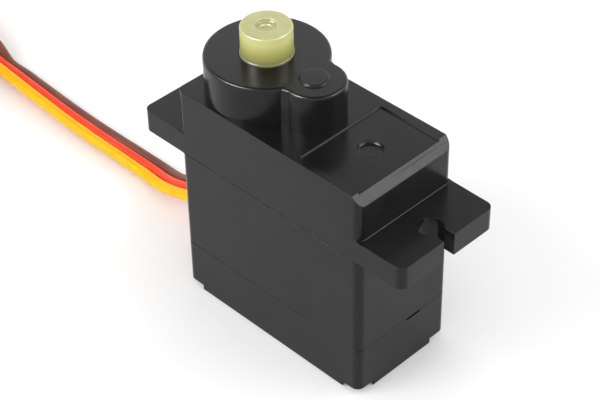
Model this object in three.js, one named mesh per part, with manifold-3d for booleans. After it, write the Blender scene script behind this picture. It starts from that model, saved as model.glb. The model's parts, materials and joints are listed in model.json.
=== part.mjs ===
// Micro servo motor: a geared DC motor with position feedback in a three-piece casing.
// Millimetres, +Z up along the output shaft. The origin is at the middle of the base; +X runs along the
// casing away from the output shaft, and -Y is one of the two long sides.
import * as THREE from 'three';
import { mergeVertices } from 'three/addons/utils/BufferGeometryUtils.js';
import Module from 'manifold-3d';

const wasm = await Module();
wasm.setup();

// ---------------------------------------------------------------- driving dimensions

// casing
const caseLength = 23.1;
const caseWidth = 12.0;
const cornerR = 0.8;
const wall = 0.85;
const coverTopZ = 5.5; // joint between bottom cover and middle case
const earUnderZ = 16.4; // joint between middle case and top case
const deckZ = 23.6;
const roof = 0.9;
const seam = 0.06; // gap at each joint between mouldings
const earSpan = 33.2;
const earThickness = 2.4;
const earHoleX = 14.4;
const earHoleR = 1.25;
const earSlotWidth = 1.4;
const endChamferX = 0.88;
const endChamferZ = 1.04;
const towerTopZ = 27.6;
const bigTowerR = 5.85;
const smallTowerR = 2.97;
const towerWall = 0.85;
const towerRoof = 1.1;
const towerCap = { r: 1.35, height: 0.2 }; // raised disc on the small tower
const towerWeb = { onBig: 32.5, onSmall: 96 }; // where it meets each tower, in degrees from +X
const deckPanel = { x: [3.75, 11.2], y: [-5.25, 5.05], depth: 0.15 };
const deckDimple = { x: 7.16, r: 1.2, depth: 0.45 };
const baseThickness = 1.0;
const baseStep = { fromX: 9.54, fromY: 3.91, height: 0.6 }; // cut-away corners of the base
const pryNotch = { y: [0.5, 2.35], height: 0.2, depth: 0.3 }; // in the cover's top edge at the far end

// gear train: every stage between the output axis and the idler axis has the same centre distance
const gearModule = 0.3;
const motorModule = 0.25;
const teeth = {
  pinion: 8,
  wheel1: 36,
  pinion1: 9,
  wheel2: 31,
  pinion2: 9,
  wheel3: 31,
  pinion3: 10,
  output: 30,
};
const backlash = 0.06; // taken off every tooth's thickness
const outputX = -5.65;
const idlerX = outputX + gearModule * (teeth.pinion3 + teeth.output) / 2;
const motorX = idlerX + motorModule * (teeth.pinion + teeth.wheel1) / 2;
const runningFit = 0.05; // radial clearance of every shaft in its hole
const idlerPinR = 0.5;
const sensorShaftR = 0.75;
const outputHubR = 2.53;
const outputShaftR = 2.42;
const outputTopZ = 30.5;
const outputRecess = { r: 1.05, depth: 0.5 };
const outputPilot = { r: 0.5, bottomZ: 29.5 };

// case screws
const screwX = 10.1;
const screwY = 4.6;
const screwR = 0.65;
const screwHeadR = 1.2;
const screwPostR = 1.15;
const screwHeadZ = [0.35, 1.0];
const screwTipZ = 21.4;

// motor
const motorR = 4.8;
const motorHalfFlat = 4.0;
const motorBottomZ = 6.0;
const motorTopZ = 15.2;
const motorShaftR = 0.4;

// board
const boardZ = 2.0;
const boardThickness = 0.8;
const boardTopZ = boardZ + boardThickness;

// lead: three insulated wires side by side in a flat ribbon
const wireD = 1.15;
const wirePitch = 1.17;
const solidWireR = 0.55;
const leadY = 0.6;
const leadNotchZ = 4.2;
const coilX = -65.0;
const coilY = -3.05;
const coilR = 8.47; // middle of the outermost turn
const coilFloor = 0.45; // the tie runs under the coil
const tieThickness = 0.32;
const tieWidth = 2.4;
const tieGap = 0.1;
const connectorLength = 14.0;
const connectorWidth = 7.6;
const connectorHeight = 2.5;
const contactPitch = 2.54;
const coilTop = coilFloor + wireD + 2 * wirePitch;
const coilOuter = coilR + wireD / 2;
const connectorX = coilX - 4.5; // its wire end
const connectorBottomZ = coilTop + tieGap + tieThickness + 0.04;
const connectorMiddleZ = connectorBottomZ + connectorHeight / 2;

// ---------------------------------------------------------------- materials

function finish(color, roughness, metalness) {
  return new THREE.MeshStandardMaterial({ color, roughness, metalness });
}

const blackPlastic = finish(0x1d1d1c, 0.42, 0);
const nylon = finish(0xcfcb8e, 0.4, 0);
const whiteNylon = finish(0xe8e6dc, 0.45, 0);
const steel = finish(0xa9abad, 0.3, 1);
const brass = finish(0xc8a24c, 0.35, 1);
const copper = finish(0xb4683a, 0.35, 1);
const magnet = finish(0x3b3c40, 0.6, 0.4);
const greenBoard = finish(0x1d5c37, 0.5, 0);
const chipBlack = finish(0x17181a, 0.5, 0);
const ceramicTan = finish(0xb08a5c, 0.5, 0);
const phenolic = finish(0x6b4a2c, 0.6, 0);
const brownWire = finish(0x5e3a31, 0.5, 0);
const redWire = finish(0xc9261a, 0.5, 0);
const yellowWire = finish(0xf0a514, 0.5, 0);
const whiteTie = finish(0xe6e4df, 0.6, 0);

// ---------------------------------------------------------------- solids

/** A closed three.js geometry as a solid for joining and cutting. */
function solid(geometry) {
  const bare = geometry.clone();
  for (const name of Object.keys(bare.attributes)) {
    if (name !== 'position') bare.deleteAttribute(name);
  }
  const merged = mergeVertices(bare, 1e-5);
  return new wasm.Manifold(new wasm.Mesh({
    numProp: 3,
    vertProperties: new Float32Array(merged.attributes.position.array),
    triVerts: new Uint32Array(merged.index.array),
  }));
}

/** A solid back as a three.js geometry. */
function geometryOf(body) {
  const mesh = body.getMesh();
  const geometry = new THREE.BufferGeometry();
  geometry.setAttribute('position', new THREE.BufferAttribute(new Float32Array(mesh.vertProperties), 3));
  geometry.setIndex(new THREE.BufferAttribute(new Uint32Array(mesh.triVerts), 1));
  geometry.computeVertexNormals();
  return geometry;
}

const join = (first, ...others) => others.reduce((all, body) => all.add(body), first);
const cut = (body, ...tools) => tools.reduce((left, tool) => left.subtract(tool), body);

/** A block between two opposite corners. */
function block([x0, y0, z0], [x1, y1, z1]) {
  const box = new THREE.BoxGeometry(x1 - x0, y1 - y0, z1 - z0);
  box.translate((x0 + x1) / 2, (y0 + y1) / 2, (z0 + z1) / 2);
  return solid(box);
}

/** An upright round bar. */
function rod(x, y, radius, z0, z1, sides = 24) {
  const bar = new THREE.CylinderGeometry(radius, radius, z1 - z0, sides);
  bar.rotateX(Math.PI / 2);
  bar.translate(x, y, (z0 + z1) / 2);
  return solid(bar);
}

/** A shape in the XY plane raised from z0 to z1. */
function prism(shape, z0, z1, curveSegments = 6) {
  const body = new THREE.ExtrudeGeometry(shape, { depth: z1 - z0, bevelEnabled: false, curveSegments });
  body.translate(0, 0, z0);
  return solid(body);
}

/** A shape in the XZ plane carried from y0 to y1. */
function prismAlongY(shape, y0, y1) {
  const body = new THREE.ExtrudeGeometry(shape, { depth: y1 - y0, bevelEnabled: false, curveSegments: 3 });
  body.rotateX(Math.PI / 2);
  body.translate(0, y1, 0);
  return solid(body);
}

/** A rectangle with rounded corners, centred on x, y. */
function roundedRectangle(length, width, radius, x = 0, y = 0) {
  const shape = new THREE.Shape();
  const a = length / 2 - radius;
  const b = width / 2 - radius;
  shape.absarc(x + a, y + b, radius, 0, Math.PI / 2);
  shape.absarc(x - a, y + b, radius, Math.PI / 2, Math.PI);
  shape.absarc(x - a, y - b, radius, Math.PI, Math.PI * 1.5);
  shape.absarc(x + a, y - b, radius, Math.PI * 1.5, Math.PI * 2);
  return shape;
}

/** A profile of [radius, height] points, from the axis round to the axis, turned about an upright axis. */
function turned(profile, x, y, sides = 24) {
  const points = profile.map(([radius, height]) => new THREE.Vector2(radius, height));
  const body = new THREE.LatheGeometry(points, sides);
  body.rotateX(Math.PI / 2);
  body.translate(x, y, 0);
  return body;
}

const corners = [[screwX, screwY], [-screwX, screwY], [-screwX, -screwY], [screwX, -screwY]];
const posts = (radius, z0, z1, sides) => corners.map(([x, y]) => rod(x, y, radius, z0, z1, sides));

const group = new THREE.Group();

/** Adds one piece to the assembly; body is a solid or a geometry. */
function piece(name, body, material) {
  const mesh = new THREE.Mesh(body.isBufferGeometry ? body : geometryOf(body), material);
  mesh.name = name;
  group.add(mesh);
  return mesh;
}

// ---------------------------------------------------------------- casing

const innerLength = caseLength - 2 * wall;
const innerWidth = caseWidth - 2 * wall;
const caseOutline = roundedRectangle(caseLength, caseWidth, cornerR);
const innerOutline = roundedRectangle(innerLength, innerWidth, 0.3);
const screwHoleR = screwR + 0.08;

/** The wedge outside the sloped edge along the top of the far end. */
function endChamfer() {
  const shape = new THREE.Shape();
  const x = caseLength / 2;
  shape.moveTo(x - endChamferX, deckZ);
  shape.lineTo(x, deckZ - endChamferZ);
  shape.lineTo(x + 1, deckZ - endChamferZ);
  shape.lineTo(x + 1, deckZ + 1);
  shape.lineTo(x - endChamferX, deckZ + 1);
  return prismAlongY(shape, -caseWidth, caseWidth);
}

/** The screw hole of one ear with the slot that opens it to the ear's end. */
function earKeyhole(side) {
  const hole = rod(side * earHoleX, 0, earHoleR, earUnderZ - 1, earUnderZ + earThickness + 1);
  const ends = [side * earHoleX, side * (earSpan / 2 + 1)].sort((a, b) => a - b);
  const half = earSlotWidth / 2;
  return hole.add(block([ends[0], -half, earUnderZ - 1], [ends[1], half, earUnderZ + earThickness + 1]));
}

/** The narrow web that fills the valley between the two towers on one side. */
function valleyWeb(side) {
  const big = THREE.MathUtils.degToRad(towerWeb.onBig);
  const small = THREE.MathUtils.degToRad(towerWeb.onSmall);
  const shape = new THREE.Shape();
  shape.moveTo(-1.3, side * 1.5);
  shape.lineTo(outputX + bigTowerR * Math.cos(big), side * bigTowerR * Math.sin(big));
  shape.lineTo(idlerX + smallTowerR * Math.cos(small), side * smallTowerR * Math.sin(small));
  shape.lineTo(0.1, side * 1.5);
  return prism(shape, deckZ - roof, towerTopZ);
}

function topCase() {
  const bayCeiling = deckZ - roof;
  const towerCeiling = towerTopZ - towerRoof;
  const rimZ = earUnderZ + seam / 2; // just above the ears' undersides
  const ears = cut(
    prism(roundedRectangle(earSpan, caseWidth, cornerR), earUnderZ, earUnderZ + earThickness),
    prism(caseOutline, earUnderZ - 1, rimZ),
  );
  const outside = join(
    prism(caseOutline, rimZ, deckZ),
    ears,
    rod(outputX, 0, bigTowerR, bayCeiling, towerTopZ, 56),
    rod(idlerX, 0, smallTowerR, bayCeiling, towerTopZ, 32),
    rod(idlerX, 0, towerCap.r, towerTopZ - 0.2, towerTopZ + towerCap.height),
    valleyWeb(-1),
    valleyWeb(1),
  );
  const bay = cut(
    prism(innerOutline, earUnderZ - 1, bayCeiling, 2),
    ...posts(screwPostR, earUnderZ - 2, deckZ, 12),
  );
  const [panelX, panelY, panelZ] = [deckPanel.x, deckPanel.y, deckZ - deckPanel.depth];
  const towers = join(
    rod(outputX, 0, bigTowerR - towerWall, bayCeiling - 1, towerCeiling, 40),
    rod(idlerX, 0, smallTowerR - towerWall + 0.1, bayCeiling - 1, towerCeiling, 24),
  );
  return cut(
    outside,
    endChamfer(),
    bay,
    towers,
    earKeyhole(-1),
    earKeyhole(1),
    block([panelX[0], panelY[0], panelZ], [panelX[1], panelY[1], deckZ + 1]),
    rod(deckDimple.x, 0, deckDimple.r, deckZ - deckDimple.depth, deckZ + 1),
    rod(outputX, 0, outputHubR + runningFit, towerCeiling - 1, towerTopZ + 1, 48),
    rod(idlerX, 0, idlerPinR + runningFit, towerCeiling - 1, towerCeiling + 0.5, 16),
    ...posts(screwHoleR, earUnderZ - 1, screwTipZ + 0.4, 12),
  );
}

function middleCase() {
  const top = earUnderZ - seam / 2;
  const deckUnder = top - 1.0;
  const shell = cut(prism(caseOutline, coverTopZ, top), prism(innerOutline, coverTopZ - 1, deckUnder, 2));
  const partition = block([-0.7, -innerWidth / 2 - 0.1, 7.5], [0.1, innerWidth / 2 + 0.1, deckUnder + 0.1]);
  const spacer = rod(idlerX, 0, 1.0, top - 0.1, top + 0.4, 16);
  return cut(
    join(shell, partition, spacer, ...posts(screwPostR, coverTopZ, top, 12)),
    rod(outputX, 0, sensorShaftR + 0.1, deckUnder - 1, top + 1),
    rod(motorX, 0, 1.5, deckUnder - 1, top + 1),
    rod(idlerX, 0, idlerPinR + runningFit, deckUnder + 0.2, top + 1, 16),
    ...posts(screwHoleR, coverTopZ - 1, top + 1, 12),
  );
}

function bottomCover() {
  const top = coverTopZ - seam;
  const shell = cut(prism(caseOutline, 0, top), prism(innerOutline, baseThickness, top + 1, 2));
  const ribs = [-4.2, 4.2].map((x) => (
    block([x - 0.4, -innerWidth / 2 - 0.1, 0.5], [x + 0.4, innerWidth / 2 + 0.1, boardZ])
  ));
  const body = join(shell, ...ribs, ...posts(screwPostR + 0.25, 0.5, top, 12));
  const steps = [-1, 1].flatMap((sideX) => [-1, 1].map((sideY) => {
    const [x0, x1] = [sideX * baseStep.fromX, sideX * caseLength].sort((a, b) => a - b);
    const [y0, y1] = [sideY * baseStep.fromY, sideY * caseWidth].sort((a, b) => a - b);
    return block([x0, y0, -1], [x1, y1, baseStep.height]);
  }));
  const notchHalf = 1.5 * wirePitch + 0.15;
  const farEnd = caseLength / 2;
  const [pryY0, pryY1] = pryNotch.y;
  return cut(
    body,
    ...steps,
    ...posts(screwHeadR + 0.15, -1, screwHeadZ[1] + 0.1, 20),
    ...posts(screwHoleR, 0, top + 1, 12),
    block([-caseLength, leadY - notchHalf, leadNotchZ], [-10, leadY + notchHalf, top + 1]),
    block([farEnd - pryNotch.depth, pryY0, top - pryNotch.height], [farEnd + 1, pryY1, top + 1]),
  );
}

/** A long pan-head screw from the bottom corner up into the top case. */
function caseScrew(x, y) {
  const [headBottom, headTop] = screwHeadZ;
  const body = solid(turned([
    [0, headBottom],
    [screwHeadR - 0.25, headBottom],
    [screwHeadR, headBottom + 0.25],
    [screwHeadR, headTop],
    [screwR, headTop],
    [screwR, screwTipZ - 0.5],
    [0.25, screwTipZ],
    [0, screwTipZ],
  ], x, y, 12));
  const [long, thin, driveTop] = [0.75, 0.18, headBottom + 0.3];
  const cross = join(
    block([x - long, y - thin, 0], [x + long, y + thin, driveTop]),
    block([x - thin, y - long, 0], [x + thin, y + long, driveTop]),
  );
  return cut(body, cross);
}

piece('top_case', topCase(), blackPlastic);
piece('middle_case', middleCase(), blackPlastic);
piece('bottom_cover', bottomCover(), blackPlastic);
corners.forEach(([x, y], i) => piece(`case_screw_${i + 1}`, caseScrew(x, y), steel));

// ---------------------------------------------------------------- gear train

/**
 * An involute gear's outline about x, 0 with one tooth pointing along phase. Pinions have long teeth and
 * wheels short ones (profile shift), so that few teeth can mesh without undercut.
 */
function gearOutline(x, count, module, isPinion, phase) {
  const pressure = THREE.MathUtils.degToRad(20);
  const involute = (angle) => Math.tan(angle) - angle;
  const shift = isPinion ? 0.5 : -0.5;
  const pitchR = module * count / 2;
  const baseR = pitchR * Math.cos(pressure);
  const tipR = pitchR + module * (isPinion ? 1.25 : 0.5);
  const rootR = pitchR - module * (isPinion ? 0.75 : 1.5);
  const thickness = module * (Math.PI / 2 + 2 * shift * Math.tan(pressure)) - backlash;
  const half = (r) => {
    const roll = r > baseR ? Math.acos(baseR / r) : 0;
    return thickness / (2 * pitchR) + involute(pressure) - involute(roll);
  };
  const radii = isPinion ? [rootR, baseR, (baseR + tipR) / 2, tipR] : [rootR, tipR];
  const shape = new THREE.Shape();
  const points = [];
  for (let tooth = 0; tooth < count; tooth += 1) {
    const middle = phase + (tooth / count) * Math.PI * 2;
    const rising = radii.map((r) => [r, middle - half(r)]);
    const falling = radii.map((r) => [r, middle + half(r)]).reverse();
    points.push(...rising, ...falling);
  }
  const flat = points.map(([r, angle]) => new THREE.Vector2(x + r * Math.cos(angle), r * Math.sin(angle)));
  shape.setFromPoints(flat);
  return shape;
}

const gearDisc = (x, count, module, isPinion, phase, z0, z1) => (
  prism(gearOutline(x, count, module, isPinion, phase), z0, z1)
);
const gap = (count) => Math.PI / count; // turns a gap, not a tooth, to the mating pinion
const towardsOutput = Math.PI;
const towardsMotor = 0;

/** Heights of the four levels at which the stages mesh. */
const level = {
  first: [16.95, 17.85],
  second: [18.6, 19.6],
  third: [20.3, 21.3],
  output: [22.4, 24.6],
};

function motorPinion() {
  const wheel = gearDisc(motorX, teeth.pinion, motorModule, true, towardsOutput, 16.7, 18.5);
  return cut(wheel, rod(motorX, 0, motorShaftR + runningFit, 16, 20, 12));
}

function firstGear() {
  const phase = towardsMotor + gap(teeth.wheel1);
  const pinionZ = [level.first[1] - 0.1, 20.05];
  const wheel = gearDisc(idlerX, teeth.wheel1, motorModule, false, phase, ...level.first);
  const pinion = gearDisc(idlerX, teeth.pinion1, gearModule, true, towardsOutput, ...pinionZ);
  return cut(wheel.add(pinion), rod(idlerX, 0, idlerPinR + runningFit, 16, 21, 16));
}

function secondGear() {
  const pinionZ = [level.second[1] - 0.1, 21.5];
  const wheel = gearDisc(outputX, teeth.wheel2, gearModule, false, gap(teeth.wheel2), ...level.second);
  const pinion = gearDisc(outputX, teeth.pinion2, gearModule, true, towardsMotor, ...pinionZ);
  const spacer = rod(outputX, 0, 1.1, 16.9, level.second[0] + 0.1, 16);
  return cut(join(wheel, pinion, spacer), rod(outputX, 0, sensorShaftR + runningFit, 16, 22, 16));
}

function thirdGear() {
  const phase = towardsOutput + gap(teeth.wheel3);
  const pinionZ = [level.third[1] - 0.1, 25.6];
  const wheel = gearDisc(idlerX, teeth.wheel3, gearModule, false, phase, ...level.third);
  const pinion = gearDisc(idlerX, teeth.pinion3, gearModule, true, towardsOutput, ...pinionZ);
  return cut(wheel.add(pinion), rod(idlerX, 0, idlerPinR + runningFit, 20, 26, 16));
}

/** The last wheel, its hub in the tower's hole and the output shaft above, in one moulding. */
function outputGear() {
  const topRound = 0.12;
  const wheel = gearDisc(outputX, teeth.output, gearModule, false, gap(teeth.output), ...level.output);
  const lowerHub = rod(outputX, 0, 1.4, 21.6, level.output[0] + 0.1, 20);
  const hub = rod(outputX, 0, outputHubR, level.output[1] - 0.1, towerTopZ + 0.15, 48);
  const shaft = solid(turned([
    [0, towerTopZ],
    [outputShaftR, towerTopZ],
    [outputShaftR, outputTopZ - topRound],
    [outputShaftR - topRound * 0.3, outputTopZ - topRound * 0.3],
    [outputShaftR - topRound, outputTopZ],
    [0, outputTopZ],
  ], outputX, 0, 48));
  return cut(
    join(wheel, lowerHub, hub, shaft),
    rod(outputX, 0, sensorShaftR + runningFit, 21, 23.7, 16),
    rod(outputX, 0, outputRecess.r, outputTopZ - outputRecess.depth, outputTopZ + 1),
    rod(outputX, 0, outputPilot.r, outputPilot.bottomZ, outputTopZ, 12),
  );
}

piece('motor_pinion', motorPinion(), brass);
piece('first_gear', firstGear(), whiteNylon);
piece('second_gear', secondGear(), whiteNylon);
piece('third_gear', thirdGear(), whiteNylon);
piece('output_gear', outputGear(), nylon);
piece('idler_pin', rod(idlerX, 0, idlerPinR, 15.65, 26.9, 16), steel);

// ---------------------------------------------------------------- motor

/** The motor's outline: round, with a flat on each side along X. */
function motorOutline(radius, halfFlat) {
  const angle = Math.acos(halfFlat / radius);
  const shape = new THREE.Shape();
  shape.absarc(motorX, 0, radius, angle, Math.PI - angle);
  shape.absarc(motorX, 0, radius, Math.PI + angle, Math.PI * 2 - angle);
  return shape;
}

const canWall = 0.4;
const canOutline = (inset) => motorOutline(motorR - inset, motorHalfFlat - inset);
const bushR = 1.0;
const rotorZ = [8.6, 13.2];
const poleR = 2.75;

function motorCan() {
  const cup = cut(
    prism(canOutline(0), motorBottomZ, motorTopZ, 8),
    prism(canOutline(canWall), motorBottomZ - 1, motorTopZ - canWall, 8),
  );
  const nose = rod(motorX, 0, 1.35, motorTopZ - 0.2, motorTopZ + 0.6, 20);
  return cut(cup.add(nose), rod(motorX, 0, bushR + 0.03, motorTopZ - 1, motorTopZ + 1, 20));
}

/** A curved magnet on one side of the can. */
function motorMagnet(side) {
  const reach = THREE.MathUtils.degToRad(48);
  const middle = side * Math.PI / 2;
  const shape = new THREE.Shape();
  shape.absarc(motorX, 0, motorR - canWall - 0.05, middle - reach, middle + reach);
  shape.absarc(motorX, 0, 3.0, middle + reach, middle - reach, true);
  return prism(shape, 7.8, 14.0, 8);
}

/** The three-armed laminated core; each arm ends in a curved pole. */
function rotorCore() {
  const arms = [0, 1, 2].map((i) => {
    const turn = i * Math.PI * 2 / 3;
    const reach = THREE.MathUtils.degToRad(50);
    const pole = new THREE.Shape();
    pole.absarc(0, 0, poleR, -reach, reach);
    pole.absarc(0, 0, poleR - 0.5, reach, -reach, true);
    const arm = block([0.3, -0.45, rotorZ[0]], [poleR - 0.3, 0.45, rotorZ[1]]);
    return arm.add(prism(pole, ...rotorZ, 6)).rotate([0, 0, THREE.MathUtils.radToDeg(turn)]);
  });
  const core = join(rod(0, 0, 0.85, ...rotorZ, 18), ...arms).translate([motorX, 0, 0]);
  return cut(core, rod(motorX, 0, motorShaftR + 0.03, 8, 14, 12));
}

/** One coil of copper wire round an arm of the core. */
function rotorCoil(i) {
  const turn = i * 120;
  const outer = block([1.0, -0.95, rotorZ[0] - 0.55], [1.95, 0.95, rotorZ[1] + 0.55]);
  const inner = block([0.9, -0.5, rotorZ[0] - 0.05], [2.3, 0.5, rotorZ[1] + 0.05]);
  return cut(outer, inner).rotate([0, 0, turn]).translate([motorX, 0, 0]);
}

function motorEndCap() {
  const body = join(
    prism(canOutline(0), motorBottomZ - 1.3, motorBottomZ - seam, 8),
    prism(canOutline(canWall + 0.05), motorBottomZ - 0.2, motorBottomZ + 0.4, 8),
  );
  const slots = [-1, 1].map((side) => block(
    [motorX - 0.7, side * 2.6 - 0.25, motorBottomZ - 2],
    [motorX + 0.7, side * 2.6 + 0.25, motorBottomZ + 1],
  ));
  return cut(body, rod(motorX, 0, motorShaftR + runningFit, 4, 7, 12), ...slots);
}

/** A terminal through the end cap whose inner end bends in to press on the commutator. */
function brushStrip(side) {
  const tab = block([motorX - 0.6, side * 2.6 - 0.15, 3.7], [motorX + 0.6, side * 2.6 + 0.15, 7.2]);
  const from = Math.min(side * 1.05, side * 2.7);
  const to = Math.max(side * 1.05, side * 2.7);
  return tab.add(block([motorX - 0.6, from, 6.95], [motorX + 0.6, to, 7.2]));
}

piece('motor_can', motorCan(), steel);
piece('motor_bush', cut(
  rod(motorX, 0, bushR, motorTopZ - 0.6, motorTopZ + 0.6, 20),
  rod(motorX, 0, motorShaftR + runningFit, 14, 17, 12),
), brass);
[-1, 1].forEach((side, i) => piece(`motor_magnet_${i + 1}`, motorMagnet(side), magnet));
piece('motor_end_cap', motorEndCap(), whiteNylon);
[-1, 1].forEach((side, i) => piece(`motor_brush_${i + 1}`, brushStrip(side), brass));
piece('motor_shaft', rod(motorX, 0, motorShaftR, 5.0, 19.0, 12), steel);
piece('rotor_core', rotorCore(), steel);
[0, 1, 2].forEach((i) => piece(`rotor_coil_${i + 1}`, rotorCoil(i), copper));
piece('commutator', cut(
  rod(motorX, 0, 0.95, 6.5, 7.9, 18),
  rod(motorX, 0, motorShaftR + 0.03, 6, 9, 12),
), copper);

// ---------------------------------------------------------------- position sensor

const sensorR = 3.8;
const sensorBottomZ = 11.0;
const sensorTopZ = 15.1;

/** A flat ring. */
const ring = (x, outer, inner, z0, z1, sides = 24) => (
  cut(rod(x, 0, outer, z0, z1, sides), rod(x, 0, inner, z0 - 1, z1 + 1, sides))
);

function sensorBody() {
  const cup = cut(
    rod(outputX, 0, sensorR, sensorBottomZ, sensorTopZ, 32),
    rod(outputX, 0, sensorR - 0.5, sensorBottomZ + 1.0, sensorTopZ + 1, 32),
  );
  const pinHoles = [-1, 0, 1].map((i) => rod(outputX + i * 1.5, -1.9, 0.3, sensorBottomZ - 1, sensorTopZ, 8));
  return cut(cup, ...pinHoles);
}

function sensorWiper() {
  const disc = rod(outputX, 0, 1.3, 12.8, 13.2, 20);
  const arm = block([outputX + 1.0, -0.4, 12.8], [outputX + 2.8, 0.4, 13.0]);
  const tip = block([outputX + 2.4, -0.4, 12.45], [outputX + 2.8, 0.4, 12.9]);
  return cut(join(disc, arm, tip), rod(outputX, 0, sensorShaftR + 0.03, 12, 14, 20));
}

piece('sensor_body', sensorBody(), phenolic);
piece('sensor_track', cut(
  ring(outputX, 3.0, 2.2, 12.05, 12.3),
  block([outputX - 2, -4, 12], [outputX + 2, -1.5, 13]),
), chipBlack);
piece('sensor_cover', ring(outputX, sensorR - 0.55, sensorShaftR + 0.1, 14.5, sensorTopZ, 28), phenolic);
piece('sensor_wiper', sensorWiper(), brass);
piece('sensor_shaft', rod(outputX, 0, sensorShaftR, 12.4, 23.5, 20), whiteNylon);
const sensorPinZ = [sensorBottomZ - 1.5, sensorBottomZ + 0.95];
[-1, 0, 1].forEach((i) => (
  piece(`sensor_pin_${i + 2}`, rod(outputX + i * 1.5, -1.9, 0.22, ...sensorPinZ, 8), steel)
));

// ---------------------------------------------------------------- electronics

/** The board: a rectangle with its corners cut away for the screw posts. */
function circuitBoard() {
  const [x, y, notchX, notchY] = [10.45, 4.95, 8.4, 2.9];
  const shape = new THREE.Shape();
  shape.setFromPoints([
    [x, -notchY], [x, notchY], [notchX, notchY], [notchX, y], [-notchX, y], [-notchX, notchY],
    [-x, notchY], [-x, -notchY], [-notchX, -notchY], [-notchX, -y], [notchX, -y], [notchX, -notchY],
  ].map(([px, py]) => new THREE.Vector2(px, py)));
  return prism(shape, boardZ + 0.02, boardTopZ);
}

/** A component on the board, centred on x, y. */
function component(x, y, length, width, height) {
  const z = boardTopZ + 0.02;
  return block([x - length / 2, y - width / 2, z], [x + length / 2, y + width / 2, z + height]);
}

/** A wire or cord along a smooth curve through points. */
function wire(points, radius, steps, sides) {
  const curve = new THREE.CatmullRomCurve3(points.map((p) => new THREE.Vector3(...p)), false, 'centripetal');
  const section = new THREE.Shape();
  for (let i = 0; i < sides; i += 1) {
    const angle = (i / sides) * Math.PI * 2;
    const [x, y] = [radius * Math.cos(angle), radius * Math.sin(angle)];
    if (i) section.lineTo(x, y);
    else section.moveTo(x, y);
  }
  section.closePath();
  return new THREE.ExtrudeGeometry(section, { steps, bevelEnabled: false, extrudePath: curve });
}

piece('circuit_board', circuitBoard(), greenBoard);
piece('control_chip', component(-1.6, 1.3, 4.9, 3.9, 1.4), chipBlack);
piece('driver_chip', component(8.4, 0, 2.9, 2.9, 1.0), chipBlack);
piece('capacitor', component(-2.6, -3.3, 2.0, 1.25, 1.2), ceramicTan);
[0, 1].forEach((i) => piece(`resistor_${i + 1}`, component(-0.4 + i * 1.6, -3.3, 0.8, 1.6, 0.5), chipBlack));

[-1, 1].forEach((side, i) => piece(`motor_wire_${i + 1}`, wire([
  [motorX - 0.9, side * 2.6, 4.2],
  [motorX - 1.6, side * 2.6, 4.15],
  [motorX - 2.7, side * 2.6, 3.7],
  [motorX - 3.2, side * 2.6, 3.15],
], 0.3, 8, 6), i ? redWire : chipBlack));
[-1, 0, 1].forEach((i) => piece(`sensor_wire_${i + 2}`, wire([
  [outputX + i * 1.5, -1.9, sensorBottomZ - 1.8],
  [outputX + i * 1.5, -2.1, 8.0],
  [outputX + i * 1.4, -2.6, 5.5],
  [outputX + i * 1.3, -2.6, 3.2],
], 0.3, 8, 6), [whiteTie, greenBoard, redWire][i + 1]));

// ---------------------------------------------------------------- lead

/**
 * Middle of the ribbon from the board to the coil as [x, y, z, twist in degrees]: it leaves through the
 * notch in the end wall, sags to the surface, lies along it with its far wire lowest, then turns on edge to
 * enter the coil.
 */
const leadRun = [
  [-8.6, 0.6, 3.5, 0],
  [-9.5, 0.6, 4.15, 0],
  [-10.5, 0.6, 4.74, 0],
  [-11.55, 0.6, 4.86, 0],
  [-14.0, 0.68, 4.88, 3],
  [-17.0, 0.85, 4.18, 3],
  [-20.1, 1.25, 2.8, 1],
  [-23.2, 1.75, 1.58, -4],
  [-26.4, 2.3, 0.94, -8],
  [-30.5, 2.38, 0.85, -11],
  [-35.0, 2.33, 0.9, -13],
  [-40.0, 2.4, 0.96, -16],
  [-45.0, 2.65, 1.0, -18],
  [-50.0, 2.95, 1.03, -20],
  [-54.0, 3.2, 1.02, -19],
  [-57.0, 3.7, 1.25, 35],
];

/**
 * Middle of the ribbon from the coil to the connector that lies on it, from the coil's middle, as
 * [x, y, z, twist, spread].
 */
const leadTail = [
  [-9.75, -4.25, 4.2, 50, 1],
  [-9.4, -2.6, 4.8, 30, 1],
  [-8.3, -1.0, 5.35, 8, 1],
  [-6.6, -0.15, 5.6, 0, 1.25],
  [-4.8, 0, connectorMiddleZ, 0, contactPitch / wirePitch],
];

/** One wire's points: the ribbon's middle moved sideways by place wires, along the ribbon's twisted width. */
function wirePoints(route, place) {
  return route.map(([x, y, z, twist, spread = 1], i) => {
    const before = route[Math.max(i - 1, 0)];
    const after = route[Math.min(i + 1, route.length - 1)];
    const heading = new THREE.Vector2(after[0] - before[0], after[1] - before[1]).normalize();
    const across = place * wirePitch * spread * Math.cos(THREE.MathUtils.degToRad(twist));
    const rise = place * wirePitch * spread * Math.sin(THREE.MathUtils.degToRad(twist));
    return [x + heading.y * across, y - heading.x * across, z + rise];
  });
}

const colours = [['yellow', yellowWire, -1], ['red', redWire, 0], ['brown', brownWire, 1]];
const tailRoute = leadTail.map(([x, y, ...rest]) => [coilX + x, coilY + y, ...rest]);
for (const [name, material, place] of colours) {
  piece(`lead_${name}_run`, wire(wirePoints(leadRun, place), solidWireR, 22, 8), material);
  piece(`lead_${name}_tail`, wire(wirePoints(tailRoute, place), solidWireR, 6, 8), material);
}

/** The outer shape of the wound ribbon, which stands on edge in a flat double spiral. */
piece('lead_coil', turned([
  [0, coilFloor],
  [coilOuter - 0.4, coilFloor],
  [coilOuter, coilFloor + 0.4],
  [coilOuter, coilTop - 0.4],
  [coilOuter - 0.4, coilTop],
  [0, coilTop],
], coilX, coilY, 32), redWire);

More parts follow.
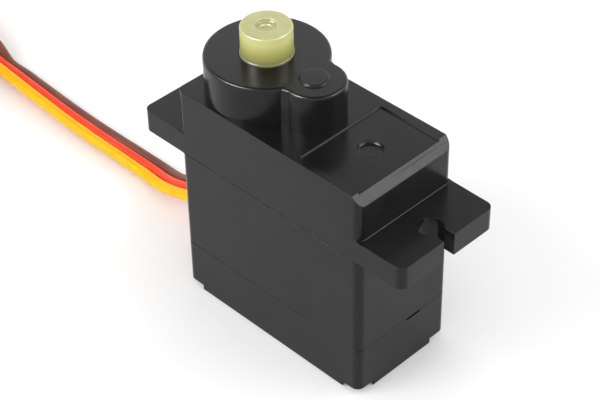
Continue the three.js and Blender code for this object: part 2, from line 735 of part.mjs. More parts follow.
/** A flat tie round the coil, across its middle. */
function leadTie() {
  const halfLength = coilOuter + tieGap;
  const outline = (grow) => {
    const shape = new THREE.Shape();
    const [x, r] = [halfLength + grow, 0.5 + grow];
    const [z0, z1] = [coilFloor - tieGap - grow, coilTop + tieGap + grow];
    shape.absarc(coilX + x - r, z1 - r, r, 0, Math.PI / 2);
    shape.absarc(coilX - x + r, z1 - r, r, Math.PI / 2, Math.PI);
    shape.absarc(coilX - x + r, z0 + r, r, Math.PI, Math.PI * 1.5);
    shape.absarc(coilX + x - r, z0 + r, r, Math.PI * 1.5, Math.PI * 2);
    return shape;
  };
  return cut(
    prismAlongY(outline(tieThickness), coilY - tieWidth / 2, coilY + tieWidth / 2),
    prismAlongY(outline(0), coilY - tieWidth, coilY + tieWidth),
  );
}

piece('lead_tie', leadTie(), whiteTie);

// connector: a housing with three square channels and a crimp contact in each; it lies on the tied coil
const channel = 0.85; // half of a channel's side

function connectorHousing() {
  const body = block(
    [connectorX, coilY - connectorWidth / 2, connectorBottomZ],
    [connectorX + connectorLength, coilY + connectorWidth / 2, connectorBottomZ + connectorHeight],
  );
  const channels = [-1, 0, 1].map((i) => block(
    [connectorX - 1, coilY + i * contactPitch - channel, connectorMiddleZ - channel],
    [connectorX + connectorLength + 1, coilY + i * contactPitch + channel, connectorMiddleZ + channel],
  ));
  const latchWindows = [-1, 0, 1].map((i) => block(
    [connectorX + 6.0, coilY + i * contactPitch - 0.6, connectorMiddleZ],
    [connectorX + 8.5, coilY + i * contactPitch + 0.6, connectorBottomZ + connectorHeight + 1],
  ));
  return cut(body, ...channels, ...latchWindows);
}

/** A square tube of sheet brass that grips a header pin. */
function crimpContact(i) {
  const outer = channel - 0.1;
  const inner = outer - 0.3;
  const y = coilY + i * contactPitch;
  const x0 = connectorX + 2.0;
  const x1 = connectorX + connectorLength - 0.6;
  return cut(
    block([x0, y - outer, connectorMiddleZ - outer], [x1, y + outer, connectorMiddleZ + outer]),
    block([x0 - 1, y - inner, connectorMiddleZ - inner], [x1 + 1, y + inner, connectorMiddleZ + inner]),
  );
}

piece('connector_housing', connectorHousing(), chipBlack);
[-1, 0, 1].forEach((i) => piece(`connector_contact_${i + 2}`, crimpContact(i), brass));

export default group;
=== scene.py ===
import json
import math

import bmesh
import bpy
from mathutils import Matrix, Vector


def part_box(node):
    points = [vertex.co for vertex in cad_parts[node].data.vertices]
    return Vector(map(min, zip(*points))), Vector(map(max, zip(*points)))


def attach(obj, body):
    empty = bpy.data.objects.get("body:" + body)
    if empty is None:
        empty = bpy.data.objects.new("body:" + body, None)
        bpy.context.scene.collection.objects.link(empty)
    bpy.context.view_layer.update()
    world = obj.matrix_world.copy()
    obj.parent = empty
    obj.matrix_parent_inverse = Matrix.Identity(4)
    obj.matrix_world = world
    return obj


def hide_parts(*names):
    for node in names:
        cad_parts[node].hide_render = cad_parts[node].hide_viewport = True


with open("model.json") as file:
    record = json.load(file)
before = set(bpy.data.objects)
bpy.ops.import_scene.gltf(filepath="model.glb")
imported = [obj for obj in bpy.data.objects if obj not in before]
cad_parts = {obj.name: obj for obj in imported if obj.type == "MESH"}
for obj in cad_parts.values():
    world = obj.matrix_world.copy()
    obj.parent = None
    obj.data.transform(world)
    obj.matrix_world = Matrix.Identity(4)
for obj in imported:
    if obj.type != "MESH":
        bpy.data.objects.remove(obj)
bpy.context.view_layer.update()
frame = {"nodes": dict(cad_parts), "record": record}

MM = 0.001


def at(x, y, z):
    """A point given in millimetres, in metres."""
    return Vector((x, y, z)) * MM


def box_mm(*nodes):
    """Lowest and highest corner of one or more CAD nodes, in millimetres."""
    boxes = [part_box(node) for node in nodes]
    low = Vector([min(b[0][i] for b in boxes) for i in range(3)]) / MM
    high = Vector([max(b[1][i] for b in boxes) for i in range(3)]) / MM
    return low, high


# ---------------------------------------------------------------- places taken from the CAD model

CASE_LOW, CASE_HIGH = box_mm("bottom_cover")
PIN_LOW, PIN_HIGH = box_mm("idler_pin")
SENSOR_LOW, SENSOR_HIGH = box_mm("sensor_shaft")
COIL_LOW, COIL_HIGH = box_mm("lead_coil")

OUTPUT_X = (SENSOR_LOW.x + SENSOR_HIGH.x) / 2
IDLER_X = (PIN_LOW.x + PIN_HIGH.x) / 2
COIL_X = (COIL_LOW.x + COIL_HIGH.x) / 2
COIL_Y = (COIL_LOW.y + COIL_HIGH.y) / 2
COIL_MIDDLE_Z = (COIL_LOW.z + COIL_HIGH.z) / 2
CONTACT_Z = sum(corner.z for corner in box_mm("connector_contact_2")) / 2
SHAFT_TOP_Z = box_mm("output_gear")[1].z

# Sizes inside one CAD node, which its box doesn't give.
DECK_Z = 23.6
TOWER_TOP_Z = 27.6
EAR_TOP_Z = 18.8
WALL = 0.85
BIG_TOWER_R = 5.85
SMALL_TOWER_R = 2.97
PANEL_X = 3.75  # where the sunk panel starts
DIMPLE_X = 7.16
WHEEL_TOP_Z = 24.6  # of the output gear, under its hub
HUB_R = 2.53
HUB_TOP_Z = TOWER_TOP_Z + 0.15
OUTPUT_R = 2.42


# ---------------------------------------------------------------- camera

CAMERA_AZIMUTH = math.radians(45.72)
CAMERA_ELEVATION = math.radians(39.81)
CAMERA_ROLL = math.radians(-1.144)
CAMERA_LENS = 109.06
CAMERA_DISTANCE = 171.03
CAMERA_AIM = (-1.78, 0.0, 12.43)
SENSOR_WIDTH = 36


def make_camera():
    """The camera looks down on the end and the near side of the casing."""
    back = Vector((
        math.sin(CAMERA_AZIMUTH) * math.cos(CAMERA_ELEVATION),
        -math.cos(CAMERA_AZIMUTH) * math.cos(CAMERA_ELEVATION),
        math.sin(CAMERA_ELEVATION),
    ))
    level_right = Vector((math.cos(CAMERA_AZIMUTH), math.sin(CAMERA_AZIMUTH), 0))
    right = Matrix.Rotation(CAMERA_ROLL, 3, back) @ level_right
    up = back.cross(right)
    camera = bpy.data.objects.new("camera", bpy.data.cameras.new("camera"))
    camera.data.sensor_width = SENSOR_WIDTH
    camera.data.lens = CAMERA_LENS
    camera.data.clip_start = 0.01
    camera.data.clip_end = 10
    rotation = Matrix((right, up, back)).transposed().to_4x4()
    place = at(*CAMERA_AIM) + back * CAMERA_DISTANCE * MM
    camera.matrix_world = Matrix.Translation(place) @ rotation
    bpy.context.scene.collection.objects.link(camera)
    bpy.context.scene.camera = camera


make_camera()


# ---------------------------------------------------------------- lead

WIRE_D = 1.15
WIRE_PITCH = 1.17
LEAD_EXIT_Z = 4.86
CONTACT_SPREAD = 2.54 / WIRE_PITCH  # the connector's pitch over the ribbon's
ROUTE_STEP = 0.6
WIRE_PLACES = {"yellow": -1, "red": 0, "brown": 1}

# Middle of the ribbon from the board out of the casing, along the surface with its far wire lowest and
# up on edge to the coil: x, y, z, twist in degrees.
LEAD_RUN = [
    (-8.6, 0.6, 3.5, 0), (-9.5, 0.6, 4.15, 0), (-10.5, 0.6, 4.74, 0), (-11.55, 0.6, LEAD_EXIT_Z, 0),
    (-14.0, 0.68, 4.88, 3), (-17.0, 0.85, 4.18, 3), (-20.1, 1.25, 2.8, 1), (-23.2, 1.75, 1.58, -4),
    (-26.4, 2.3, 0.94, -8), (-30.5, 2.38, 0.85, -11), (-35.0, 2.33, 0.9, -13), (-40.0, 2.4, 0.96, -16),
    (-45.0, 2.65, 1.0, -18), (-50.0, 2.95, 1.03, -20), (-54.0, 3.2, 1.02, -19), (-57.0, 3.7, 1.25, 35),
    (-60.0, 4.45, 1.9, 68), (-62.5, 5.1, 2.15, 85),
]

# Middle of the ribbon from the coil over its edge into the connector that lies on it, from the coil's
# middle: x, y, z, twist, spread.
LEAD_TAIL = [
    (-3.0, -8.6, 2.4, 85, 1), (-5.5, -8.5, 2.8, 78, 1), (-8.5, -7.26, 3.5, 66, 1),
    (-9.75, -4.25, 4.2, 50, 1), (-9.4, -2.6, 4.8, 30, 1), (-8.3, -1.0, 5.35, 8, 1),
    (-6.6, -0.15, 5.6, 0, 1.25), (-4.8, 0, CONTACT_Z, 0, CONTACT_SPREAD),
    (-2.7, 0, CONTACT_Z, 0, CONTACT_SPREAD),
]

# The coil: the ribbon stands on edge in a flat double spiral, in to the middle and out again.
COIL_R = (COIL_HIGH.x - COIL_LOW.x) / 2 - WIRE_D / 2
STRAND_PITCH = 1.35
TURN_R = 2.5  # of the two half turns that meet at the middle


def coil_route():
    """Middle of the ribbon through the coil, as x, y from the coil's middle."""
    shrink = 2 * STRAND_PITCH / math.tau
    sweep = (COIL_R - 2 * TURN_R) / shrink
    count = int(sweep / math.radians(7.5))
    turns = [sweep * i / count for i in range(count + 1)]
    spiral = []
    for turn in turns:
        r = COIL_R - shrink * turn
        angle = turn + math.pi / 2
        spiral.append(Vector((r * math.cos(angle), r * math.sin(angle))))
    middle = spiral[-1] / 2
    half_turn = [middle + Matrix.Rotation(math.radians(a), 2) @ middle for a in range(12, 181, 12)]
    inward = spiral + half_turn
    return inward + [-p for p in inward[-2::-1]]


def lead_route():
    """Middle of the whole ribbon: x, y, z, twist, spread."""
    run = [(*point, 1) for point in LEAD_RUN]
    coil = [(COIL_X + p.x, COIL_Y + p.y, COIL_MIDDLE_Z, 90, 1) for p in coil_route()]
    tail = [(COIL_X + x, COIL_Y + y, *rest) for x, y, *rest in LEAD_TAIL]
    return run + coil + tail


def smooth_route(route, step):
    """Points about one step apart on a centripetal Catmull-Rom curve; values past x, y, z follow."""
    ends = [Vector(route[0]) * 2 - Vector(route[1]), Vector(route[-1]) * 2 - Vector(route[-2])]
    knots = [ends[0], *[Vector(p) for p in route], ends[1]]
    smooth = []
    for a, b, c, d in zip(knots, knots[1:], knots[2:], knots[3:]):
        spans = [max((q.to_3d() - p.to_3d()).length ** 0.5, 1e-6) for p, q in ((a, b), (b, c), (c, d))]
        t1, t2, t3 = spans[0], spans[0] + spans[1], sum(spans)
        pieces = max(1, round((c.to_3d() - b.to_3d()).length / step))
        for i in range(pieces):
            t = t1 + (t2 - t1) * i / pieces
            ab = a + (b - a) * (t / t1)
            bc = b + (c - b) * ((t - t1) / (t2 - t1))
            cd = c + (d - c) * ((t - t2) / (t3 - t2))
            ac = ab + (bc - ab) * (t / t2)
            bd = bc + (cd - bc) * ((t - t1) / (t3 - t1))
            smooth.append(ac + (bd - ac) * ((t - t1) / (t2 - t1)))
    smooth.append(knots[-2])
    return smooth


def wire_points(route, place):
    """One wire's points in metres: the ribbon's middle moved by place wires along its twisted width."""
    points = []
    for i, p in enumerate(route):
        x, y, z, twist, spread = p
        before = route[max(i - 1, 0)]
        after = route[min(i + 1, len(route) - 1)]
        heading = Vector((after[0] - before[0], after[1] - before[1])).normalized()
        across = place * WIRE_PITCH * spread * math.cos(math.radians(twist))
        rise = place * WIRE_PITCH * spread * math.sin(math.radians(twist))
        points.append(at(x + heading.y * across, y - heading.x * across, z + rise))
    return points


def make_wire(name, points):
    """A round wire along points, which carry its radius."""
    curve = bpy.data.curves.new(name, "CURVE")
    curve.dimensions = "3D"
    curve.bevel_depth = 1.0
    curve.bevel_resolution = 4
    curve.use_fill_caps = True
    spline = curve.splines.new("POLY")
    spline.points.add(len(points) - 1)
    for knot, p in zip(spline.points, points):
        knot.co = (*p, 1)
        knot.radius = WIRE_D / 2 * MM
    spline.use_smooth = True
    wire = bpy.data.objects.new(name, curve)
    bpy.context.scene.collection.objects.link(wire)
    return wire


def make_wires():
    """The lead's three wires, from the board to the connector."""
    route = smooth_route(lead_route(), ROUTE_STEP)
    made = {}
    for colour, place in WIRE_PLACES.items():
        wire = make_wire(f"{colour}_wire", wire_points(route, place))
        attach(wire, "casing")
        made[colour] = wire
    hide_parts("lead_yellow_run", "lead_yellow_tail")
    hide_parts("lead_red_run", "lead_red_tail", "lead_coil")
    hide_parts("lead_brown_run", "lead_brown_tail")
    return made


wires = make_wires()


# ---------------------------------------------------------------- materials


def blank_material(name):
    """A node material with one Principled shader, and the pieces to add to it."""
    material = bpy.data.materials.new(name)
    material.use_nodes = True
    tree = material.node_tree
    shader = next(node for node in tree.nodes if node.type == "BSDF_PRINCIPLED")
    coordinates = tree.nodes.new("ShaderNodeTexCoord")
    return material, tree, shader, coordinates.outputs["Object"]


def noise(tree, place, size, detail=2.0, stretch=None):
    """A noise value whose features are size millimetres across."""
    if stretch:
        scaling = tree.nodes.new("ShaderNodeMapping")
        scaling.inputs["Scale"].default_value = stretch
        tree.links.new(place, scaling.inputs["Vector"])
        place = scaling.outputs["Vector"]
    texture = tree.nodes.new("ShaderNodeTexNoise")
    texture.inputs["Scale"].default_value = 1 / (size * MM)
    texture.inputs["Detail"].default_value = detail
    tree.links.new(place, texture.inputs["Vector"])
    return texture.outputs["Fac"]


def ramp(tree, value, low, high, start=0.3, end=0.7):
    """A colour between low and high as value goes from start to end."""
    node = tree.nodes.new("ShaderNodeValToRGB")
    node.color_ramp.elements[0].position = start
    node.color_ramp.elements[0].color = (*low, 1)
    node.color_ramp.elements[1].position = end
    node.color_ramp.elements[1].color = (*high, 1)
    tree.links.new(value, node.inputs["Fac"])
    return node.outputs["Color"]


def between(tree, value, low, high, start=0.3, end=0.7):
    """A number between low and high as value goes from start to end."""
    node = tree.nodes.new("ShaderNodeMapRange")
    node.inputs["From Min"].default_value = start
    node.inputs["From Max"].default_value = end
    node.inputs["To Min"].default_value = low
    node.inputs["To Max"].default_value = high
    tree.links.new(value, node.inputs["Value"])
    return node.outputs["Result"]


def bump(tree, shader, height, depth):
    """Raises the surface by up to depth millimetres where height is high."""
    node = tree.nodes.new("ShaderNodeBump")
    node.inputs["Strength"].default_value = 1.0
    node.inputs["Distance"].default_value = depth * MM
    tree.links.new(height, node.inputs["Height"])
    tree.links.new(node.outputs["Normal"], shader.inputs["Normal"])


def glow_through(shader, weight, radius):
    """Lets light travel under the surface, by radius millimetres of red, green and blue."""
    shader.inputs["Subsurface Weight"].default_value = weight
    shader.inputs["Subsurface Radius"].default_value = [r * MM for r in radius]
    shader.inputs["Subsurface Scale"].default_value = 1.0


def moulded(name, dark, light, gloss, grain=0.16, grain_depth=0.004, subsurface=None, ior=1.5):
    """Moulded plastic: slow changes of colour and gloss, and a fine even grain."""
    material, tree, shader, place = blank_material(name)
    tree.links.new(ramp(tree, noise(tree, place, 4.0), dark, light), shader.inputs["Base Color"])
    tree.links.new(between(tree, noise(tree, place, 1.1, 3), *gloss), shader.inputs["Roughness"])
    bump(tree, shader, noise(tree, place, grain, 1), grain_depth)
    shader.inputs["IOR"].default_value = ior
    if subsurface:
        glow_through(shader, *subsurface)
    return material


# Colour of the output shaft's side from the casing, at 0, up to its top, at 1: painted shade low down and
# a painted glow of the top's light higher up.
NYLON_SIDE_PAINTED_LIGHT = [
    (0.05, (0.16, 0.16, 0.075)), (0.17, (0.27, 0.265, 0.085)), (0.47, (0.4, 0.39, 0.12)),
    (0.78, (0.52, 0.51, 0.2)), (0.93, (0.48, 0.475, 0.22)), (0.98, (0.42, 0.415, 0.19)),
]
NYLON_TOP = (0.4, 0.395, 0.18), (0.44, 0.435, 0.2)
MIX_A, MIX_B, MIX_RESULT = 6, 7, 2  # the colour sockets of a Mix node


def painted_side_light(tree, height):
    """The output shaft's side colour at a height in metres, with painted shade low down and a painted glow
    higher up.
    """
    painted_light_ramp = tree.nodes.new("ShaderNodeValToRGB")
    along = between(tree, height, 0, 1, (TOWER_TOP_Z - 0.1) * MM, SHAFT_TOP_Z * MM)
    tree.links.new(along, painted_light_ramp.inputs["Fac"])
    while len(painted_light_ramp.color_ramp.elements) < len(NYLON_SIDE_PAINTED_LIGHT):
        painted_light_ramp.color_ramp.elements.new(0.5)
    for element, (stop, colour) in zip(painted_light_ramp.color_ramp.elements, NYLON_SIDE_PAINTED_LIGHT):
        element.position = stop
        element.color = (*colour, 1)
    return painted_light_ramp.outputs["Color"]


def output_nylon():
    """Clear yellowish nylon with light under its surface; the side's glow from its top and its darkening
    down to the casing are also painted into the colour.
    """
    material, tree, shader, place = blank_material("output_nylon")
    split = tree.nodes.new("ShaderNodeSeparateXYZ")
    tree.links.new(place, split.inputs["Vector"])
    flat = tree.nodes.new("ShaderNodeCombineXYZ")
    tree.links.new(split.outputs["X"], flat.inputs["X"])
    tree.links.new(split.outputs["Y"], flat.inputs["Y"])
    from_axis = tree.nodes.new("ShaderNodeVectorMath")
    from_axis.operation = "DISTANCE"
    from_axis.inputs[1].default_value = at(OUTPUT_X, 0, 0)
    tree.links.new(flat.outputs["Vector"], from_axis.inputs[0])
    rim_start, rim_end = (OUTPUT_R - 0.12) * MM, (OUTPUT_R - 0.06) * MM
    mix = tree.nodes.new("ShaderNodeMix")
    mix.data_type = "RGBA"
    on_side = between(tree, from_axis.outputs["Value"], 0, 1, rim_start, rim_end)
    tree.links.new(on_side, mix.inputs["Factor"])
    tree.links.new(ramp(tree, noise(tree, place, 1.5), *NYLON_TOP), mix.inputs[MIX_A])
    # The side's colour carries painted glow from the top's light and painted shade down to the casing.
    tree.links.new(painted_side_light(tree, split.outputs["Z"]), mix.inputs[MIX_B])
    tree.links.new(mix.outputs[MIX_RESULT], shader.inputs["Base Color"])
    tree.links.new(between(tree, noise(tree, place, 1.1, 3), 0.28, 0.4), shader.inputs["Roughness"])
    bump(tree, shader, noise(tree, place, 0.3, 1), 0.003)
    shader.inputs["IOR"].default_value = 1.4
    glow_through(shader, 0.5, (0.6, 0.6, 0.3))
    return material


def metal(name, dark, light, gloss, stretch=(1, 1, 8)):
    """Drawn or turned metal with fine lines along it."""
    material, tree, shader, place = blank_material(name)
    lines = noise(tree, place, 0.8, 4, stretch)
    tree.links.new(ramp(tree, lines, dark, light), shader.inputs["Base Color"])
    tree.links.new(between(tree, lines, *gloss), shader.inputs["Roughness"])
    bump(tree, shader, lines, 0.003)
    shader.inputs["Metallic"].default_value = 1.0
    return material


def insulation(name, dark, light, gloss=(0.34, 0.46)):
    """Soft PVC on stranded wire: the strands show as a faint slow ripple."""
    material, tree, shader, place = blank_material(name)
    tree.links.new(ramp(tree, noise(tree, place, 3.0), dark, light), shader.inputs["Base Color"])
    tree.links.new(between(tree, noise(tree, place, 0.7, 3), *gloss), shader.inputs["Roughness"])
    bump(tree, shader, noise(tree, place, 0.5, 2), 0.012)
    shader.inputs["IOR"].default_value = 1.15
    glow_through(shader, 0.25, (0.5, 0.25, 0.12))
    return material


def solder_mask():
    """Green board: darker lines of copper under the mask."""
    material, tree, shader, place = blank_material("board")
    tracks = noise(tree, place, 1.6, 1, (1, 3, 1))
    green = ramp(tree, tracks, (0.008, 0.07, 0.03), (0.02, 0.16, 0.07), 0.47, 0.53)
    tree.links.new(green, shader.inputs["Base Color"])
    tree.links.new(between(tree, noise(tree, place, 0.6), 0.25, 0.4), shader.inputs["Roughness"])
    bump(tree, shader, tracks, 0.02)
    return material


def windings():
    """Enamelled copper wire laid side by side in a coil."""
    material, tree, shader, place = blank_material("copper")
    wave = tree.nodes.new("ShaderNodeTexWave")
    wave.bands_direction = "Z"
    wave.inputs["Scale"].default_value = 1 / (1.2 * MM)
    wave.inputs["Distortion"].default_value = 0.6
    tree.links.new(place, wave.inputs["Vector"])
    copper = ramp(tree, wave.outputs["Fac"], (0.25, 0.07, 0.02), (0.72, 0.3, 0.13))
    tree.links.new(copper, shader.inputs["Base Color"])
    tree.links.new(between(tree, noise(tree, place, 0.5), 0.25, 0.4), shader.inputs["Roughness"])
    bump(tree, shader, wave.outputs["Fac"], 0.04)
    shader.inputs["Metallic"].default_value = 1.0
    return material


materials = {
    "black_plastic": moulded(
        "black_plastic", (0.0062, 0.0062, 0.006), (0.0086, 0.0086, 0.0083), (0.2, 0.26),
        grain_depth=0.0014, ior=1.28,
    ),
    "output_nylon": output_nylon(),
    "gear_nylon": moulded(
        "gear_nylon", (0.66, 0.64, 0.54), (0.78, 0.76, 0.68), (0.35, 0.5),
        subsurface=(0.5, (1, 0.9, 0.7)),
    ),
    "steel": metal("steel", (0.42, 0.42, 0.43), (0.6, 0.6, 0.61), (0.22, 0.38)),
    "brass": metal("brass", (0.55, 0.37, 0.12), (0.8, 0.6, 0.25), (0.22, 0.36)),
    "copper": windings(),
    "magnet": moulded("magnet", (0.03, 0.03, 0.032), (0.07, 0.07, 0.075), (0.45, 0.7), 0.3, 0.02),
    "board": solder_mask(),
    "chip": moulded("chip", (0.012, 0.012, 0.013), (0.022, 0.022, 0.023), (0.4, 0.55), 0.12, 0.004),
    "ceramic": moulded("ceramic", (0.3, 0.2, 0.1), (0.42, 0.29, 0.16), (0.3, 0.45), 0.2, 0.004),
    "phenolic": moulded("phenolic", (0.09, 0.045, 0.02), (0.17, 0.09, 0.04), (0.45, 0.6), 0.25, 0.01),
    "brown_insulation": insulation("brown_insulation", (0.17, 0.066, 0.044), (0.22, 0.082, 0.056)),
    "red_insulation": insulation("red_insulation", (0.8, 0.06, 0.022), (0.87, 0.076, 0.032)),
    "yellow_insulation": insulation("yellow_insulation", (0.82, 0.4, 0.001), (0.88, 0.45, 0.003)),
    "white_insulation": insulation("white_insulation", (0.7, 0.69, 0.65), (0.8, 0.79, 0.76)),
}


def paint(piece, slot):
    """Gives a piece, new or from the CAD, its slot's material."""
    piece.data.materials.clear()
    piece.data.materials.append(materials[slot])


slot_of = {part["node"]: part["material_slot"] for part in frame["record"]["subparts"]}
for node, cad_object in frame["nodes"].items():
    if cad_object.material_slots:
        cad_object.material_slots[0].material = materials[slot_of[node]]
    else:
        cad_object.data.materials.append(materials[slot_of[node]])
for colour, wire in wires.items():
    paint(wire, f"{colour}_insulation")


# ---------------------------------------------------------------- rounded pieces

WIDEST = 0.3  # the rounding's own width, of which each edge takes its share
SEGMENTS = 3
SHARP = math.radians(30)  # an edge that bends less is part of a curved face
FLAT = math.radians(0.5)
SAME_POINT = 0.002


def link(name, mesh):
    """A new object in the scene."""
    piece = bpy.data.objects.new(name, mesh)
    bpy.context.scene.collection.objects.link(piece)
    return piece


def finished(piece):
    """Applies a piece's modifiers and turns its mesh from millimetres to metres."""
    bpy.context.view_layer.update()
    applied = bpy.data.meshes.new_from_object(piece.evaluated_get(bpy.context.evaluated_depsgraph_get()))
    applied.transform(Matrix.Scale(MM, 4))
    applied.name = piece.name
    piece.modifiers.clear()
    piece.data = applied
    return piece


def round_edges(form, width_of):
    """Marks each sharp edge of a millimetre bmesh with its rounding, and keeps the others sharp."""
    weight = form.edges.layers.float.new("bevel_weight_edge")
    for face in form.faces:
        face.smooth = True
    for edge in form.edges:
        if len(edge.link_faces) != 2:
            continue
        bend = edge.calc_face_angle_signed()
        if abs(bend) < SHARP:
            continue
        middle = (edge.verts[0].co + edge.verts[1].co) / 2
        width = width_of(middle, bend > 0)
        edge[weight] = width / WIDEST
        edge.smooth = width > 0


def rounded(name, form, width_of):
    """A new piece in metres from a millimetre bmesh, with its edges rounded."""
    round_edges(form, width_of)
    mesh = bpy.data.meshes.new(name)
    form.to_mesh(mesh)
    form.free()
    piece = link(name, mesh)
    rounding = piece.modifiers.new("rounding", "BEVEL")
    rounding.limit_method = "WEIGHT"
    rounding.width = WIDEST
    rounding.segments = SEGMENTS
    rounding.use_clamp_overlap = False
    normals = piece.modifiers.new("normals", "WEIGHTED_NORMAL")
    normals.keep_sharp = True
    return finished(piece)


def cad_form(*nodes):
    """The shape of CAD nodes as one millimetre bmesh, with flat faces made whole."""
    form = bmesh.new()
    for node in nodes:
        form.from_mesh(frame["nodes"][node].data)
    bmesh.ops.scale(form, vec=(1 / MM,) * 3, verts=form.verts)
    bmesh.ops.remove_doubles(form, verts=form.verts, dist=SAME_POINT)
    bmesh.ops.dissolve_limit(form, angle_limit=FLAT, verts=form.verts, edges=form.edges)
    form.normal_update()
    return form


def stand_in(name, nodes, body, slot, width_of):
    """A rounded copy that stands for CAD nodes."""
    piece = rounded(name, cad_form(*nodes), width_of)
    paint(piece, slot)
    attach(piece, body)
    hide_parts(*nodes)
    return piece


HALF_LENGTH = CASE_HIGH.x
HALF_WIDTH = CASE_HIGH.y
NEAR = 0.05  # a place counts as reached from this far off
VALLEY_X = -1.2, 0.3  # where the towers meet, on both sides
VALLEY_Y = 2.5

# How far the rounding of each kind of edge reaches from it.
MOULD_EDGE = 0.04
SHARP_EDGE = 0.018
RIM_EDGE = 0.28  # of both towers
SHAFT_HOLE_EDGE = 0.03
CAP_EDGES = 0.12, 0.1  # of the small tower's cap, top and foot
VALLEY_EDGE = 0.08  # between the towers
DIMPLE_EDGES = 0.08, 0.3  # rim and floor
PANEL_STEP_EDGE = 0.07
PANEL_FOOT_EDGE = 0.04
EAR_FILLET = 0.09
FOOT_EDGE = 0.12


def off_axis(p, x):
    """How far p is from an upright axis at x."""
    return math.hypot(p.x - x, p.y)


def is_outside(p):
    """True on the casing's outer walls."""
    return abs(p.x) > HALF_LENGTH - WALL / 2 or abs(p.y) > HALF_WIDTH - WALL / 2


def tower_top_edge(p, convex):
    """Rounding at the towers' tops."""
    big, small = off_axis(p, OUTPUT_X), off_axis(p, IDLER_X)
    cap_reach, hole_reach, off_rim = 1.6, 3.0, 0.1
    if small < cap_reach:
        return CAP_EDGES[0] if convex else CAP_EDGES[1]
    if big < hole_reach:
        return SHAFT_HOLE_EDGE
    on_rim = abs(big - BIG_TOWER_R) < off_rim or abs(small - SMALL_TOWER_R) < off_rim
    return RIM_EDGE if on_rim or p.z < TOWER_TOP_Z + NEAR else 0


def deck_edge(p, convex):
    """Rounding on the deck: its dimple, its panel and its own outline."""
    dimple_reach = 1.3
    if off_axis(p, DIMPLE_X) < dimple_reach:
        return DIMPLE_EDGES[0] if convex else DIMPLE_EDGES[1]
    if abs(p.x - PANEL_X) < NEAR:
        return PANEL_STEP_EDGE
    if convex:
        return SHARP_EDGE
    return 0 if p.z > DECK_Z - NEAR else PANEL_FOOT_EDGE


def top_case_edge(p, convex):
    """Rounding of the top case's edges by place, from the top down."""
    panel_reach = 0.6
    if p.z > TOWER_TOP_Z - NEAR:
        return tower_top_edge(p, convex)
    if p.z > DECK_Z + NEAR:
        on_valley = abs(p.y) > VALLEY_Y and VALLEY_X[0] < p.x < VALLEY_X[1]
        return VALLEY_EDGE if on_valley and not convex else 0
    if p.z > DECK_Z - panel_reach:
        return deck_edge(p, convex)
    if p.z > EAR_TOP_Z + NEAR:
        return MOULD_EDGE if is_outside(p) else 0
    if abs(p.x) > HALF_LENGTH + NEAR:
        return SHARP_EDGE if convex else 0
    if p.z > EAR_TOP_Z - NEAR and not convex:
        return EAR_FILLET
    return MOULD_EDGE if is_outside(p) else 0


def middle_case_edge(p, convex):
    return MOULD_EDGE if is_outside(p) and convex else 0


def bottom_cover_edge(p, convex):
    at_base = p.z < 0.1
    if is_outside(p):
        return FOOT_EDGE if at_base else MOULD_EDGE
    return 0.05 if at_base else 0


stand_in("top_shell", ["top_case"], "casing", "black_plastic", top_case_edge)
stand_in("middle_shell", ["middle_case"], "casing", "black_plastic", middle_case_edge)
stand_in("bottom_shell", ["bottom_cover"], "casing", "black_plastic", bottom_cover_edge)


# ---------------------------------------------------------------- output shaft

OUTPUT_EDGE_R = 0.22
HUB_EDGE_R = 0.05
HUB_OVERLAP = 0.05  # the hub starts this far inside the wheel
RECESS_R = 1.0
RECESS_EDGE_R = 0.1
RECESS_DEPTH = 0.3
DIMPLE_R = 0.5
DIMPLE_DEPTH = 0.12


def turned(form, profile, x, sides=96):
    """Adds a closed surface turned about the upright axis at x, 0, from [radius, height] points."""
    rings = []
    for radius, height in profile:
        if radius == 0:
            rings.append([form.verts.new((x, 0, height))])
            continue
        angles = [math.tau * i / sides for i in range(sides)]
        flat = [(x + radius * math.cos(a), radius * math.sin(a)) for a in angles]
        rings.append([form.verts.new((*point, height)) for point in flat])
    for low, high in zip(rings, rings[1:]):
        for i in range(sides):
            j = (i + 1) % sides
            corners = [low[i % len(low)], low[j % len(low)], high[j % len(high)], high[i % len(high)]]
            form.faces.new(list(dict.fromkeys(corners)))


def arc(centre_r, centre_z, radius, start, end, steps=5):
    """Points of a quarter round in a profile, with angles in degrees."""
    angles = [math.radians(start + (end - start) * i / steps) for i in range(steps + 1)]
    return [(centre_r + radius * math.cos(a), centre_z + radius * math.sin(a)) for a in angles]


def output_profile():
    """Half section of the hub and the shaft, from the wheel up and over the top, as radius and height."""
    top = SHAFT_TOP_Z
    hub_low = WHEEL_TOP_Z - HUB_OVERLAP
    recess_z = top - RECESS_DEPTH
    dimple_z = recess_z - DIMPLE_DEPTH
    return [
        (0, hub_low), (HUB_R, hub_low),
        *arc(HUB_R - HUB_EDGE_R, HUB_TOP_Z - HUB_EDGE_R, HUB_EDGE_R, 0, 90, 3),
        (OUTPUT_R + 0.02, HUB_TOP_Z), (OUTPUT_R, HUB_TOP_Z + 0.03),
        *arc(OUTPUT_R - OUTPUT_EDGE_R, top - OUTPUT_EDGE_R, OUTPUT_EDGE_R, 0, 90, 5),
        *arc(RECESS_R + RECESS_EDGE_R, top - RECESS_EDGE_R, RECESS_EDGE_R, 90, 180, 4),
        *arc(RECESS_R - RECESS_EDGE_R, recess_z + RECESS_EDGE_R, RECESS_EDGE_R, 0, -90, 3),
        (DIMPLE_R + 0.06, recess_z), (DIMPLE_R, recess_z - 0.04),
        (DIMPLE_R - 0.04, dimple_z), (0, dimple_z),
    ]


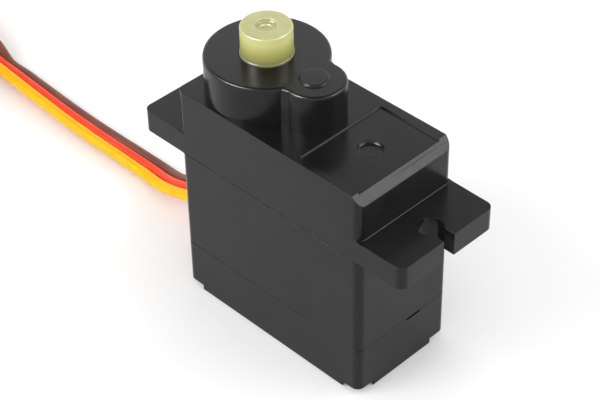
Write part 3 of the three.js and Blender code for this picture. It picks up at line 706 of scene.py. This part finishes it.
def make_output():
    """The last wheel with its hub and the smooth output shaft, in one moulding."""
    form = cad_form("output_gear")
    bmesh.ops.bisect_plane(
        form, geom=form.verts[:] + form.edges[:] + form.faces[:],
        plane_co=(0, 0, WHEEL_TOP_Z + 0.02), plane_no=(0, 0, 1), clear_outer=True,
    )
    bmesh.ops.holes_fill(form, edges=[e for e in form.edges if e.is_boundary])
    turned(form, output_profile(), OUTPUT_X)
    bmesh.ops.recalc_face_normals(form, faces=form.faces)
    piece = rounded("output_shaft", form, lambda p, convex: 0)
    paint(piece, "output_nylon")
    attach(piece, "output")
    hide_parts("output_gear")


make_output()


# ---------------------------------------------------------------- screws, tie and connector

SCREW_HEAD_TOP_Z = 1.2


def convex_edges(width):
    """A rounding of width on every edge that stands out."""
    return lambda p, convex: width if convex else 0


def screw_edge(p, convex):
    return 0.06 if p.z < SCREW_HEAD_TOP_Z else 0


for i in (1, 2, 3, 4):
    stand_in(f"screw_{i}", [f"case_screw_{i}"], "casing", "steel", screw_edge)
tie = stand_in("tie", ["lead_tie"], "casing", "white_insulation", lambda p, convex: 0.08)
housing = stand_in("housing", ["connector_housing"], "casing", "chip", convex_edges(0.12))
contacts = [
    stand_in(f"contact_{i}", [f"connector_contact_{i}"], "casing", "brass", convex_edges(0.08))
    for i in (1, 2, 3)
]


# ---------------------------------------------------------------- light and floor

KEY_DIRECTION = Vector((0.61, 0.42, 0.67))
SIDE_DIRECTION = Vector((0.72, 0.54, 0.44))
FILL_DIRECTION = Vector((-0.27, -0.68, 0.66))
ABOVE = Vector((0, 0, 1))
LIGHT_DISTANCE = 500
LIGHT_AIM = at(0, 0, 20)

# Name, direction, width, height, radiance, and True if it is seen only in gloss, or False if it lights
# everything else.
SOFTBOXES = [
    ("key_light", KEY_DIRECTION, 300, 300, 0.75, False),
    ("fill_light", FILL_DIRECTION, 300, 200, 2.4, False),
    ("top_light", ABOVE, 500, 500, 0.9, False),
    ("key_gloss", KEY_DIRECTION, 300, 130, 60.0, True),
    ("side_gloss", SIDE_DIRECTION, 280, 240, 4.0, True),
    ("fill_gloss", FILL_DIRECTION, 220, 150, 170.0, True),
]

# The studio's bright walls give way to a dim ceiling between two heights on the unit sphere.
WALL_STRENGTH = 2.0
CEILING_STRENGTH = 0.25
WALL_END, CEILING_START = 0.585, 0.66

FLOOR_SIDE = 3000


def make_softbox(name, direction, width, height, radiance, in_gloss):
    """A flat light that faces the object."""
    light = bpy.data.lights.new(name, "AREA")
    light.shape = "RECTANGLE"
    light.size = width * MM
    light.size_y = height * MM
    light.energy = radiance * math.pi * width * height * MM ** 2
    lamp = bpy.data.objects.new(name, light)
    lamp.location = LIGHT_AIM + direction.normalized() * LIGHT_DISTANCE * MM
    lamp.rotation_euler = direction.to_track_quat("Z", "Y").to_euler()
    lamp.visible_diffuse = not in_gloss
    lamp.visible_glossy = in_gloss
    bpy.context.scene.collection.objects.link(lamp)


def make_studio():
    """White walls and a dim ceiling all round."""
    world = bpy.data.worlds.new("studio")
    world.use_nodes = True
    sky = world.node_tree
    direction = sky.nodes.new("ShaderNodeTexCoord")
    height = sky.nodes.new("ShaderNodeSeparateXYZ")
    sky.links.new(direction.outputs["Generated"], height.inputs["Vector"])
    strength = between(
        sky, height.outputs["Z"], WALL_STRENGTH, CEILING_STRENGTH, WALL_END, CEILING_START,
    )
    sky.links.new(strength, sky.nodes["Background"].inputs["Strength"])
    sky.nodes["Background"].inputs["Color"].default_value = (1, 1, 1, 1)
    bpy.context.scene.world = world
    bpy.context.scene.view_settings.view_transform = "Standard"


def make_floor():
    """A sheet of white paper."""
    mesh = bpy.data.meshes.new("floor")
    half = FLOOR_SIDE / 2 * MM
    corners = [(-half, -half, 0), (half, -half, 0), (half, half, 0), (-half, half, 0)]
    mesh.from_pydata(corners, [], [(0, 1, 2, 3)])
    floor = link("floor", mesh)
    material, tree, shader, place = blank_material("paper")
    white = ramp(tree, noise(tree, place, 30), (0.85, 0.85, 0.85), (0.87, 0.87, 0.87))
    tree.links.new(white, shader.inputs["Base Color"])
    shader.inputs["Roughness"].default_value = 0.9
    floor.data.materials.append(material)


make_studio()
for softbox in SOFTBOXES:
    make_softbox(*softbox)
make_floor()
